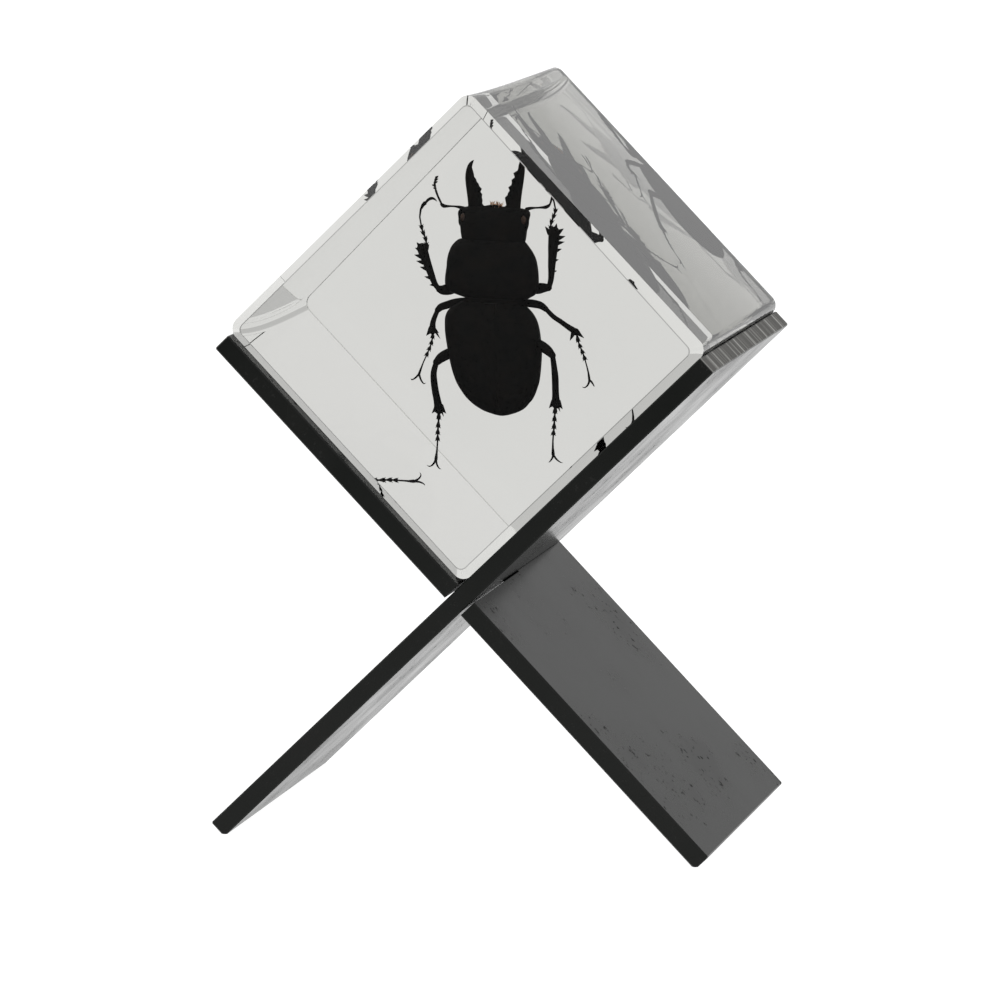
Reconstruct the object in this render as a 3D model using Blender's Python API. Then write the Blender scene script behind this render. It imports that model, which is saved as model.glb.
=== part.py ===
"""Stag beetle sealed in a clear resin cube, which stands on its lower edge in an X-shaped stand.

The stand is two flat black plates with half-lap slots, slid into each other at right angles.
Lengths are in millimetres up to the moment a mesh is made. +Z is up, the front faces -Y, and the
origin is on the surface that the feet stand on, below the middle of the object.
"""

import itertools
import math

import bmesh
import bpy
from mathutils import Matrix, Vector

MM = 0.001

# Block: a cube, set back a little from the front edges of the plates. Its two left faces draw in
# towards the back by these amounts. Edge and corner cuts are for the front, the sides and the back.
BLOCK_SIZE = 50.0
BLOCK_SETBACK = 0.6
LOWER_LEFT_DRAFT = 2.27
UPPER_LEFT_DRAFT = 2.04
FRONT_CUT, SIDE_CUT, BACK_CUT = 1.3, 0.9, 0.3
FRONT_CORNER_CUT, BACK_CORNER_CUT = 1.7, 0.6

# Stand plates, measured from the inner corner of the V that the block stands in.
PLATE_THICKNESS = 2.8
PLATE_DEPTH = 51.0
ARM_LENGTH = 48.9
LEG_LENGTH = 52.3
PLATE_EDGE_EASE = 0.2
FOOT_CHAMFER = 0.6

# Room left between pieces that touch, and around the beetle.
GAP = 0.3

# Stand frame: local +X runs up the right arm, local +Z up the left arm.
STAND_TURN = -math.pi / 4
DIAGONAL = math.sqrt(2)
V_HEIGHT = (PLATE_THICKNESS + LEG_LENGTH - FOOT_CHAMFER) / DIAGONAL
BLOCK_MIDDLE = Vector((0, BLOCK_SETBACK + (BLOCK_SIZE - PLATE_DEPTH) / 2, V_HEIGHT + BLOCK_SIZE / DIAGONAL))

# Beetle: 37 mm long with its jaws, its back to the front, head up. Its points are (x, z, depth)
# from the beetle's own middle, where depth is positive towards the belly and the block's back.
BEETLE_OFFSET = Vector((0.0, 2.0, -0.05))
BODY_SIDES = 20
LIMB_SIDES = 6
SMOOTH_ANGLE = math.radians(40)

# Stations from tail to head: (z, middle x, half width, height of the back, depth of the belly).
ABDOMEN = (
    (-13.19, 1.35, 0.5, 0.3, 0.3),
    (-12.59, 1.25, 2.39, 1.3, 1.1),
    (-11.79, 1.1, 3.79, 2.0, 1.7),
    (-10.6, 0.95, 4.99, 2.6, 2.2),
    (-9.3, 0.8, 5.79, 2.95, 2.4),
    (-7.6, 0.6, 6.43, 3.2, 2.6),
    (-5.01, 0.35, 6.88, 3.4, 2.8),
    (-2.81, 0.1, 7.08, 3.4, 2.9),
    (-0.62, -0.15, 7.08, 3.3, 2.9),
    (0.88, -0.3, 6.83, 3.0, 2.9),
    (2.07, -0.4, 6.19, 2.6, 2.6),
    (3.07, -0.4, 4.59, 2.0, 2.0),
)
WAIST = (
    (1.48, -0.2, 3.39, 1.7, 1.7),
    (3.27, 0.1, 4.39, 1.8, 1.9),
    (5.37, 0.0, 4.39, 1.8, 1.9),
)
PRONOTUM = (
    (3.87, 0.15, 3.89, 1.6, 1.6),
    (4.37, 0.0, 5.79, 2.2, 2.1),
    (5.17, -0.3, 6.83, 2.8, 2.5),
    (7.16, -0.3, 6.93, 3.1, 2.6),
    (8.96, -0.3, 6.73, 3.0, 2.5),
    (10.75, -0.4, 6.19, 2.7, 2.3),
    (11.65, -0.45, 5.49, 2.4, 2.0),
    (12.35, -0.4, 4.59, 1.9, 1.7),
)
HEAD = (
    (11.35, -0.15, 4.09, 1.6, 1.5),
    (12.55, -0.1, 4.79, 2.0, 1.8),
    (13.95, -0.1, 4.94, 2.1, 1.9),
    (15.14, -0.05, 5.19, 2.0, 1.7),
    (16.54, 0.0, 5.29, 1.5, 1.3),
    (17.04, 0.0, 3.99, 0.9, 0.8),
)
SEAM_DEPTH = 0.3
SEAM_HALF_ANGLE = 0.04

# Jaws: (x, z, depth) and half width in the beetle's plane, and the tips of their inner teeth.
JAWS = {
    "left": {
        "points": (((-2.59, 16.14, 0.0), 1.45), ((-2.74, 17.54, 0.0), 1.2), ((-2.99, 18.83, 0.0), 1.12),
                   ((-3.39, 20.33, 0.0), 0.95), ((-3.74, 21.43, 0.0), 0.68), ((-3.79, 22.72, 0.0), 0.4),
                   ((-3.19, 23.82, 0.0), 0.1)),
        "teeth": ((-1.74, 17.94), (-1.79, 18.83), (-1.89, 19.73), (-2.29, 20.33), (-2.74, 21.03), (-3.14, 21.93)),
    },
    "right": {
        "points": (((2.6, 16.14, 0.0), 1.45), ((2.75, 17.54, 0.0), 1.2), ((2.85, 18.83, 0.0), 1.12),
                   ((3.24, 20.33, 0.0), 0.95), ((3.59, 21.43, 0.0), 0.78), ((3.99, 22.82, 0.0), 0.4),
                   ((3.69, 23.92, 0.0), 0.1)),
        "teeth": ((1.45, 18.53), (1.85, 19.13), (1.9, 19.93), (2.3, 20.93), (2.65, 22.13), (3.19, 22.72)),
    },
}
JAW_FLATNESS = 0.55
JAW_TOOTH_REACH = 0.9

ANTENNAE = {
    "left": (
        ((-4.68, 16.64, 0.5), 0.28),
        ((-5.78, 16.89, 0.5), 0.2),
        ((-7.67, 16.94, 0.5), 0.26),
        ((-8.07, 17.34, 0.5), 0.17),
        ((-8.52, 18.24, 0.5), 0.16),
        ((-8.97, 19.44, 0.5), 0.18),
        ((-9.02, 20.13, 0.5), 0.26),
        ((-8.82, 20.93, 0.5), 0.24),
        ((-8.72, 21.33, 0.5), 0.1),
    ),
    "right": (
        ((4.6, 16.74, 0.5), 0.28),
        ((5.59, 17.14, 0.5), 0.2),
        ((7.49, 17.39, 0.5), 0.26),
        ((8.09, 17.79, 0.5), 0.17),
        ((8.24, 18.54, 0.8), 0.16),
        ((8.4, 19.44, 1.3), 0.18),
        ((8.35, 20.14, 1.6), 0.26),
        ((8.2, 20.84, 1.8), 0.24),
        ((8.1, 21.14, 1.9), 0.1),
    ),
}

# Legs: each part is (x, z, depth) with a half width, from the hip outwards, and reaches into the
# part before it. The shin ends in spurs, and five knobbed foot segments end in two hooked claws.
LEGS = {
    "fore_left": {
        "thigh": (((-3.97, 6.27, 1.6), 0.8), ((-5.72, 5.38, 1.5), 0.8), ((-6.97, 4.78, 1.2), 0.82),
                  ((-8.26, 4.83, 0.4), 0.55)),
        "shin": (((-8.06, 4.78, 0.4), 0.4), ((-8.89, 5.61, 0.3), 0.45), ((-9.71, 7.79, 0.1), 0.6),
                 ((-10.48, 9.78, 0.1), 0.8), ((-10.83, 10.63, 0.1), 0.85)),
        "foot": ((-10.53, 10.23, 0.1), (-10.31, 12.13, 0.2), (-11.05, 14.23, 0.4), (-11.18, 15.44, 0.4),
                 (-11.08, 16.23, 0.5), (-10.42, 17.29, 0.5)),
        "claws": (((-9.92, 17.89, 0.5), (-9.37, 18.04, 0.5), (-8.72, 17.64, 0.5)),
                  ((-9.86, 17.64, 0.9), (-9.36, 17.74, 1.2), (-8.91, 17.35, 1.4))),
        "teeth": ((-11.67, 10.63), (-11.77, 9.68), (-11.47, 8.78), (-10.96, 7.94), (-10.33, 6.54),
                  (-11.42, 11.38)),
    },
    "fore_right": {
        "thigh": (((4.01, 6.57, 1.6), 0.8), ((5.52, 5.83, 1.3), 0.85), ((7.13, 5.59, 0.8), 0.78),
                  ((8.1, 5.73, 0.4), 0.52)),
        "shin": (((8.0, 5.58, 0.4), 0.4), ((8.43, 6.81, 0.2), 0.45), ((8.58, 9.01, -0.1), 0.6),
                 ((8.73, 11.45, -0.2), 0.8), ((8.88, 13.62, 0.1), 0.92)),
        "foot": ((8.52, 13.21, 0.2), (8.3, 14.9, 0.5), (8.87, 16.51, 0.6), (8.94, 17.52, 0.5),
                 (8.46, 18.87, 0.5), (8.16, 20.32, 0.8)),
        "claws": (((7.91, 20.92, 0.8), (7.46, 21.22, 0.8)), ((7.56, 20.68, 1.0), (7.08, 20.64, 1.2))),
        "teeth": ((9.23, 14.92), (10.08, 14.32), (10.29, 13.33), (10.21, 12.44), (9.88, 11.45), (9.49, 9.86),
                  (7.63, 14.47)),
    },
    "mid_left": {
        "thigh": (((-3.97, 2.98, 1.7), 0.6), ((-6.37, 2.73, 2.3), 0.6), ((-7.45, 2.34, 2.8), 0.6),
                  ((-8.95, 1.43, 3.5), 0.45)),
        "shin": (((-8.76, 1.63, 3.5), 0.36), ((-9.42, 0.35, 3.5), 0.38), ((-9.61, -0.64, 3.3), 0.45),
                 ((-9.53, -1.49, 2.6), 0.6)),
        "foot": ((-9.53, -1.29, 2.6), (-9.64, -2.92, 2.8), (-10.44, -5.23, 2.7), (-11.48, -7.78, 2.5)),
        "claws": (((-12.11, -8.37, 2.5), (-12.65, -8.77, 2.6)), ((-11.06, -8.67, 2.6), (-10.66, -9.41, 2.8))),
        "teeth": ((-10.32, -2.09), (-8.58, -2.29)),
    },
    "mid_right": {
        "thigh": (((3.25, 3.1, 1.5), 0.6), ((5.86, 3.38, 0.0), 0.6), ((7.2, 3.26, -1.3), 0.55),
                  ((8.31, 2.72, -2.0), 0.42)),
        "shin": (((8.11, 2.87, -2.0), 0.36), ((9.14, 1.77, -1.6), 0.37), ((11.1, 0.39, -0.9), 0.42),
                 ((12.26, -0.65, 1.3), 0.6)),
        "foot": ((12.16, -0.55, 1.3), (12.41, -1.96, 1.4), (13.36, -3.85, 0.5), (14.26, -6.47, -0.4)),
        "claws": (((14.16, -7.24, -0.5), (13.51, -8.2, -0.6)), ((14.71, -7.14, -0.5), (15.02, -8.02, -0.4))),
        "teeth": ((13.16, -1.29), (11.41, -1.52)),
    },
    "hind_left": {
        "thigh": (((-3.93, -3.58, 2.0), 0.75), ((-5.82, -4.29, 1.9), 0.75), ((-6.99, -4.69, 1.7), 0.77),
                  ((-8.65, -5.95, 1.2), 0.55)),
        "shin": (((-8.57, -5.71, 1.2), 0.42), ((-9.12, -7.49, 1.7), 0.46), ((-9.24, -10.61, 4.0), 0.55),
                 ((-8.99, -13.26, 5.6), 0.7)),
        "foot": ((-9.07, -12.89, 5.6), (-9.09, -14.83, 6.1), (-9.27, -17.98, 6.3), (-9.4, -20.59, 5.6)),
        "claws": (((-9.55, -20.99, 5.6), (-9.75, -21.29, 5.6)), ((-9.29, -21.41, 5.8), (-9.07, -21.78, 6.0))),
        "teeth": ((-9.83, -13.76), (-8.0, -13.86)),
    },
    "hind_right": {
        "thigh": (((3.5, -2.26, 1.7), 0.75), ((5.46, -2.34, 0.2), 0.75), ((7.07, -2.5, -1.2), 0.77),
                  ((9.31, -3.77, -2.9), 0.52)),
        "shin": (((9.2, -3.58, -2.9), 0.42), ((9.48, -5.41, -2.4), 0.45), ((9.51, -8.5, -1.0), 0.53),
                 ((9.41, -11.12, 0.4), 0.7)),
        "foot": ((9.38, -10.74, 0.4), (9.13, -12.82, 0.9), (9.13, -15.82, -0.4), (9.27, -18.43, -1.0)),
        "claws": (((9.13, -18.93, -1.0), (8.68, -19.52, -1.0)), ((9.82, -18.98, -1.0), (10.66, -19.57, -1.0))),
        "teeth": ((8.52, -11.61), (10.25, -11.71)),
    },
}
LIMB_FLATNESS = 0.7
SHIN_TOOTH_RADIUS = 0.3
CLAW_RADII = (0.17, 0.14, 0.1, 0.06)
FOOT_SEGMENTS = 5
FOOT_NECK = 0.17
FOOT_KNOB = 0.3

# Pocket around the beetle, in its own frame: wells as (left, right, bottom, top), the cut at their
# upright corners, and the room in front and behind. Each lower leg has a well as deep as it reaches.
WELLS = {
    "body_well": ((-8.4, 8.4, -14.4, 24.7), 3.0, 4.0, 4.0),
    "fore_well": ((-12.5, 11.1, 3.0, 22.1), 3.0, 2.0, 3.2),
    "mid_left_well": ((-13.5, -6.0, -10.2, 4.2), 1.5, 0.0, 4.8),
    "mid_right_well": ((6.0, 15.8, -9.3, 4.4), 1.5, 3.2, 2.8),
    "hind_left_well": ((-11.2, -6.0, -22.6, -2.6), 1.7, 0.0, 7.4),
    "hind_right_well": ((5.2, 12.2, -20.6, -1.2), 1.5, 4.1, 2.6),
}


def clear_scene():
    for obj in list(bpy.data.objects):
        bpy.data.objects.remove(obj, do_unlink=True)


def material(name, color, roughness, transmission=0.0, ior=1.5):
    made = bpy.data.materials.new(name)
    made.use_nodes = True
    shader = made.node_tree.nodes["Principled BSDF"]
    shader.inputs["Base Color"].default_value = (*color, 1.0)
    shader.inputs["Metallic"].default_value = 0.0
    shader.inputs["Roughness"].default_value = roughness
    shader.inputs["Transmission Weight"].default_value = transmission
    shader.inputs["IOR"].default_value = ior
    return made


def add_object(name, mesh_builder, finish=None, parent=None, smooth_angle=None):
    """Links an object whose mesh is a bmesh in millimetres, closed and facing out."""
    bmesh.ops.recalc_face_normals(mesh_builder, faces=mesh_builder.faces)
    bmesh.ops.scale(mesh_builder, vec=(MM, MM, MM), verts=mesh_builder.verts)
    mesh = bpy.data.meshes.new(name)
    mesh_builder.to_mesh(mesh)
    mesh_builder.free()
    if smooth_angle is not None:
        mesh.shade_smooth()
        mesh.set_sharp_from_angle(angle=smooth_angle)
    obj = bpy.data.objects.new(name, mesh)
    bpy.context.scene.collection.objects.link(obj)
    obj.parent = parent
    if finish is not None:
        mesh.materials.append(finish)
    return obj


def as_cutter(obj):
    obj.hide_render = True
    obj.display_type = "WIRE"
    return obj


def box(low, high):
    """A bmesh box between two corners."""
    made = bmesh.new()
    size = Vector(high) - Vector(low)
    middle = (Vector(high) + Vector(low)) / 2
    bmesh.ops.create_cube(made, size=1.0, matrix=Matrix.Translation(middle) @ Matrix.Diagonal((*size, 1.0)))
    return made


def cut_away(made, point, normal):
    """Removes what lies on the normal's side of a plane and closes the cut."""
    geometry = made.verts[:] + made.edges[:] + made.faces[:]
    result = bmesh.ops.bisect_plane(made, geom=geometry, plane_co=point, plane_no=normal, clear_outer=True)
    rim = [item for item in result["geom_cut"] if isinstance(item, bmesh.types.BMEdge)]
    if rim:
        bmesh.ops.contextual_create(made, geom=rim)


def stand_frame():
    """The empty that the plates and the block lean with."""
    empty = bpy.data.objects.new("stand_frame", None)
    bpy.context.scene.collection.objects.link(empty)
    empty.location = (0, 0, V_HEIGHT * MM)
    empty.rotation_euler = (0, STAND_TURN, 0)
    return empty


def boolean(obj, cutter, name, operation="DIFFERENCE"):
    modifier = obj.modifiers.new(name, "BOOLEAN")
    modifier.operation = operation
    modifier.solver = "EXACT"
    modifier.object = cutter
    return modifier


# ---------------------------------------------------------------- stand


def plate_blank(axis):
    """A plate along local axis 0 (X) or 2 (Z), lying outside the V, with its foot edge cut flat."""
    other = 2 - axis
    low, high = [0.0, -PLATE_DEPTH / 2, 0.0], [0.0, PLATE_DEPTH / 2, 0.0]
    low[axis], high[axis] = -LEG_LENGTH, ARM_LENGTH
    low[other], high[other] = -PLATE_THICKNESS, 0.0
    made = box(low, high)
    bmesh.ops.bevel(
        made, geom=made.edges[:], offset=PLATE_EDGE_EASE, offset_type="OFFSET", segments=1, affect="EDGES"
    )
    foot_edge = Vector((0, 0, 0))
    foot_edge[axis], foot_edge[other] = -LEG_LENGTH, -PLATE_THICKNESS
    downwards = Vector((-1, 0, -1)).normalized()
    cut_away(made, foot_edge - downwards * FOOT_CHAMFER / DIAGONAL, downwards)
    return made


def slot_cutter(name, axis, frame, opens_to_front):
    """A box the size of the crossing plate and its clearance, open at the front or the back."""
    other = 2 - axis
    low, high = [0.0, 0.0, 0.0], [0.0, 0.0, 0.0]
    low[axis], high[axis] = -PLATE_THICKNESS - GAP, GAP
    low[other], high[other] = -PLATE_THICKNESS - 1.0, 1.0
    if opens_to_front:
        low[1], high[1] = -PLATE_DEPTH / 2 - 1.0, GAP / 2
    else:
        low[1], high[1] = -GAP / 2, PLATE_DEPTH / 2 + 1.0
    return as_cutter(add_object(name, box(low, high), parent=frame))


def stand_plates(frame, finish):
    for name, axis, opens_to_front in (("stand_plate_right", 0, False), ("stand_plate_left", 2, True)):
        plate = add_object(name, plate_blank(axis), finish, frame)
        boolean(plate, slot_cutter(name + "_slot", axis, frame, opens_to_front), "half_lap_slot")


# ---------------------------------------------------------------- block


def block_planes():
    """The block's faces as (outward direction, point on it), the low and the high one of each axis."""
    low = Vector((GAP, BLOCK_SETBACK - PLATE_DEPTH / 2, GAP))
    high = Vector((BLOCK_SIZE, low.y + BLOCK_SIZE, BLOCK_SIZE))
    front_corner = Vector((low.x, low.y, high.z))
    return (
        ((Vector((-1, LOWER_LEFT_DRAFT / BLOCK_SIZE, 0)), low), (Vector((1, 0, 0)), high)),
        ((Vector((0, -1, 0)), low), (Vector((0, 1, 0)), high)),
        ((Vector((0, 0, -1)), low), (Vector((0, UPPER_LEFT_DRAFT / BLOCK_SIZE, 1)), front_corner)),
    )


def chamfered_block():
    """The block with its edges and corners cut, in the stand's frame, off the plates by the gap."""
    planes = block_planes()
    reach = BLOCK_SIZE
    made = box((-reach, -reach, -reach), (2 * reach, reach, 2 * reach))
    cuts = {1: (0, 0, 0), 2: (FRONT_CUT, SIDE_CUT, BACK_CUT), 3: (FRONT_CORNER_CUT, 0, BACK_CORNER_CUT)}
    for order, by_depth in cuts.items():
        for picks in itertools.product((-1, 0, 1), repeat=3):
            faces = [planes[axis][pick > 0] for axis, pick in enumerate(picks) if pick]
            if len(faces) != order:
                continue
            outward = sum((direction for direction, _ in faces), Vector())
            offset = sum(direction.dot(point) for direction, point in faces) / outward.length
            inset = by_depth[picks[1] + 1] * (order - 1) / math.sqrt(order)
            normal = outward.normalized()
            cut_away(made, normal * (offset - inset), normal)
    return made


def well(name, bounds, corner_cut, front, back):
    """A pocket cutter with slanted corners, upright around the beetle."""
    left, right, bottom, top = bounds
    made = box((left, -front, bottom), (right, back, top))
    upright = [edge for edge in made.edges if abs((edge.verts[0].co - edge.verts[1].co).y) > 1.0]
    bmesh.ops.bevel(made, geom=upright, offset=corner_cut, offset_type="OFFSET", segments=1, affect="EDGES")
    obj = as_cutter(add_object(name, made))
    obj.location = (BLOCK_MIDDLE + BEETLE_OFFSET) * MM
    return obj


def resin_halves(frame, finish):
    """The block parted in the beetle's plane, each half with its share of the pocket."""
    plane = BLOCK_MIDDLE.y + BEETLE_OFFSET.y
    wells = [well(name, *sizes) for name, sizes in WELLS.items()]
    for name, side in (("resin_front_half", -1), ("resin_back_half", 1)):
        made = chamfered_block()
        cut_away(made, Vector((0, plane + side * GAP / 2, 0)), Vector((0, -side, 0)))
        half = add_object(name, made, finish, frame)
        for cutter in wells:
            if side > 0 or WELLS[cutter.name][2] > GAP:
                boolean(half, cutter, cutter.name)


# ---------------------------------------------------------------- beetle


def ring_between(made, first, second):
    for index, vertex in enumerate(first):
        after = (index + 1) % len(first)
        made.faces.new((vertex, first[after], second[after], second[index]))


def closed_rings(rings, tips):
    """A closed bmesh through rings of points, with a point closing each end."""
    made = bmesh.new()
    loops = [[made.verts.new(point) for point in ring] for ring in rings]
    for first, second in zip(loops, loops[1:]):
        ring_between(made, first, second)
    for loop, tip in ((loops[0], tips[0]), (loops[-1], tips[1])):
        point = made.verts.new(tip)
        for index, vertex in enumerate(loop):
            made.faces.new((vertex, loop[(index + 1) % len(loop)], point))
    return made


def body_part(stations, seam=0.0):
    """A lofted body part; a seam presses a groove along the middle of its back."""
    angles = [math.tau * step / BODY_SIDES for step in range(BODY_SIDES)]
    if seam:
        angles = [0.0, SEAM_HALF_ANGLE] + angles[1:] + [math.tau - SEAM_HALF_ANGLE]
    rings = []
    for z, middle, width, back, belly in stations:
        ring = []
        for angle in angles:
            across, out = math.sin(angle), -math.cos(angle)
            depth = out * (back if out < 0 else belly)
            if angle == 0.0:
                depth += min(seam, back / 2)
            ring.append((middle + across * width, depth, z))
        rings.append(ring)
    first, last = stations[0], stations[-1]
    return closed_rings(rings, ((first[1], 0, first[0] - 0.05), (last[1], 0, last[0] + 0.05)))


def limb(points, flatness=LIMB_FLATNESS):
    """A tapering tube through ((x, z, depth), half width), flattened across the beetle's plane."""
    centres = [Vector((x, depth, z)) for (x, z, depth), _ in points]
    rings = []
    for index, centre in enumerate(centres):
        before, after = centres[max(index - 1, 0)], centres[min(index + 1, len(centres) - 1)]
        along = (after - before).normalized()
        side = along.cross(Vector((0, 1, 0))).normalized()
        thick = side.cross(along)
        radius = points[index][1]
        rings.append([
            centre + side * radius * math.cos(angle) + thick * radius * flatness * math.sin(angle)
            for angle in (math.tau * (step + 0.5) / LIMB_SIDES for step in range(LIMB_SIDES))
        ])
    return closed_rings(rings, (centres[0], centres[-1]))


def spike(base, tip, radius):
    """A small cone from a point inside a limb to a tooth's tip, both (x, z, depth)."""
    return limb(((base, radius), (tip, 0.06)), 0.8)


def foot(points):
    """Five knobbed segments along a bent line, as a list of limb points."""
    knots = [Vector(point) for point in points]
    lengths = [(b - a).length for a, b in zip(knots, knots[1:])]
    made = []
    for step in range(2 * FOOT_SEGMENTS + 1):
        way = sum(lengths) * step / (2 * FOOT_SEGMENTS)
        piece = 0
        while piece < len(lengths) - 1 and way > lengths[piece]:
            way -= lengths[piece]
            piece += 1
        point = knots[piece].lerp(knots[piece + 1], min(way / lengths[piece], 1.0))
        made.append((tuple(point), FOOT_KNOB if step % 2 else FOOT_NECK))
    return made


def claw(start, points):
    """A hook from the end of the foot through two or three points, the last its tip."""
    radii = CLAW_RADII[:len(points)] + CLAW_RADII[-1:]
    return limb(tuple(zip((start, *points), radii)), 0.9)


def leg_parts(leg):
    parts = [limb(leg["thigh"]), limb(leg["shin"]), limb(foot(leg["foot"]), 0.9)]
    parts += [claw(leg["foot"][-1], points) for points in leg["claws"]]
    shin = [Vector(point) for point, _ in leg["shin"]]
    for x, z in leg["teeth"]:
        nearest = min(
            (start.lerp(end, step / 10) for start, end in zip(shin, shin[1:]) for step in range(11)),
            key=lambda point: (point.x - x) ** 2 + (point.y - z) ** 2,
        )
        parts.append(spike(tuple(nearest), (x, z, nearest.z), SHIN_TOOTH_RADIUS))
    return parts


def jaw_parts(jaw):
    """One jaw with its inner teeth, which start inside the jaw and point at the other jaw."""
    outwards = math.copysign(JAW_TOOTH_REACH, jaw["points"][0][0][0])
    parts = [limb(jaw["points"], JAW_FLATNESS)]
    for x, z in jaw["teeth"]:
        parts.append(spike((x + outwards, z - 0.2, 0), (x, z, 0), 0.35))
    return parts


def beetle(finish):
    """The whole specimen as one fused solid: the abdomen with everything else united to it."""
    body = add_object("stag_beetle", body_part(ABDOMEN, SEAM_DEPTH), finish, smooth_angle=SMOOTH_ANGLE)
    parts = [body_part(WAIST), body_part(PRONOTUM), body_part(HEAD)]
    for side in ("left", "right"):
        parts += jaw_parts(JAWS[side]) + [limb(ANTENNAE[side])]
    for leg in LEGS.values():
        parts += leg_parts(leg)
    pieces = bpy.data.collections.new("beetle_pieces")
    bpy.context.scene.collection.children.link(pieces)
    place = (BLOCK_MIDDLE + BEETLE_OFFSET) * MM
    body.location = place
    for number, made in enumerate(parts):
        piece = as_cutter(add_object(f"beetle_piece_{number:02d}", made, finish, smooth_angle=SMOOTH_ANGLE))
        bpy.context.scene.collection.objects.unlink(piece)
        pieces.objects.link(piece)
        piece.location = place
    union = body.modifiers.new("fused_pieces", "BOOLEAN")
    union.operation = "UNION"
    union.solver = "EXACT"
    union.operand_type = "COLLECTION"
    union.collection = pieces
    union.use_self = True


def main():
    clear_scene()
    frame = stand_frame()
    stand_plates(frame, material("black_acrylic", (0.012, 0.013, 0.012), 0.25))
    resin_halves(frame, material("clear_resin", (0.94, 0.95, 0.94), 0.02, transmission=1.0, ior=1.6))
    beetle(material("beetle_shell", (0.012, 0.010, 0.008), 0.3))


main()
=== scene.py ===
"""Looks for the stag beetle in a resin block on its X-shaped stand of two black plates.

Lengths are in millimetres up to the moment a mesh is made. The block is built in the stand's frame,
where a runs up the right arm and b up the left arm, and the beetle in its own frame, as in the CAD.
"""

import math

import bmesh
import bpy
from mathutils import Matrix, Vector, noise


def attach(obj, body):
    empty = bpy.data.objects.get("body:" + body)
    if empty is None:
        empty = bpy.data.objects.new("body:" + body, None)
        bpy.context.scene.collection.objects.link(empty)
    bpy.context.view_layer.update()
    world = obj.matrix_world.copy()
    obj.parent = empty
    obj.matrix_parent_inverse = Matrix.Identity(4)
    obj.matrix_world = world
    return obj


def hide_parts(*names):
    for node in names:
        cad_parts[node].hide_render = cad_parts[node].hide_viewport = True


MM = 0.001

# Driving sizes of the model, in millimetres, as in the frame.
BLOCK_SIZE = 50.0
BLOCK_SETBACK = 0.6
PLATE_THICKNESS = 2.8
PLATE_DEPTH = 51.0
LEG_LENGTH = 52.3
FOOT_CHAMFER = 0.6
ARM_LENGTH = 48.9
DIAGONAL = math.sqrt(2)
V_HEIGHT = (PLATE_THICKNESS + LEG_LENGTH - FOOT_CHAMFER) / DIAGONAL
BLOCK_FRONT = BLOCK_SETBACK - PLATE_DEPTH / 2
BLOCK_MIDDLE = Vector((0, BLOCK_FRONT + BLOCK_SIZE / 2, V_HEIGHT + BLOCK_SIZE / DIAGONAL))
STAND_TURN = -math.pi / 4
BEETLE_OFFSET = Vector((0.0, 2.0, -0.05))
BEETLE_PLACE = BLOCK_MIDDLE + BEETLE_OFFSET

# Block: room to the plates, radius of the four long edges and of the front rim's corners, and the
# chamfers of the front and back rims as (low end, high end) widths on the face and a depth, for its
# four sides in the order in which a ring goes round. A fine line with its own slope runs round the
# front face.
CONTACT_GAP = 0.04
EDGE_RADIUS = 1.72
RIM_CORNER = EDGE_RADIUS * 0.6
SIDES = ("lower_right", "upper_right", "upper_left", "lower_left")
FRONT_RIM = {"lower_right": (1.3, 1.3, 1.45), "upper_right": (1.45, 0.78, 1.6),
             "upper_left": (1.3, 1.3, 1.86), "lower_left": (1.3, 1.3, 1.4)}
RIM_LINE = 0.13
RIM_LINE_STEEPNESS = 0.42
BACK_RIM = {"lower_right": (0.3, 0.3, 0.3), "upper_right": (0.3, 0.3, 0.3),
            "upper_left": (0.06, 0.06, 0.06), "lower_left": (0.06, 0.06, 0.06)}
CORNER_STEPS = 8
# Behind the front rim the lower left face draws in evenly, and the upper left one curves in, but less
# at its top end. The back face leans, so that the block is deeper on the right. The rings' depths
# behind the rim follow that curve. The painted dark line at the back rim, painted shade, is fainter
# than the front one.
RIM_END = 1.9
BACK_LINE_SHARE = 0.3
LOWER_LEFT_DRAFT = 1.9
UPPER_LEFT_INSET = 2.0
FLARE_DEPTH = 12.0
TOP_SHARE = 0.7
BACK_LEFT_EXTRA, BACK_LEAN = -2.2, -2.5
FLARE_RINGS = (0.0, 1.0, 3.0, 5.0, 7.5, 11.0, 15.0, 20.0, 27.0, 36.0)

# Camera, fitted to the photograph's edges.
CAMERA_AZIMUTH = 14.6
CAMERA_ELEVATION = 9.76
CAMERA_ROLL = 0.6
CAMERA_FOCAL_PX = 5786.0
IMAGE_PX = 1000.0
SENSOR_MM = 36.0
CAMERA_DISTANCE = 820.9
CAMERA_TARGET = Vector((5.87, -PLATE_DEPTH / 2, V_HEIGHT + 12.86))
NEAR_CLIP = 50.0

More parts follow.
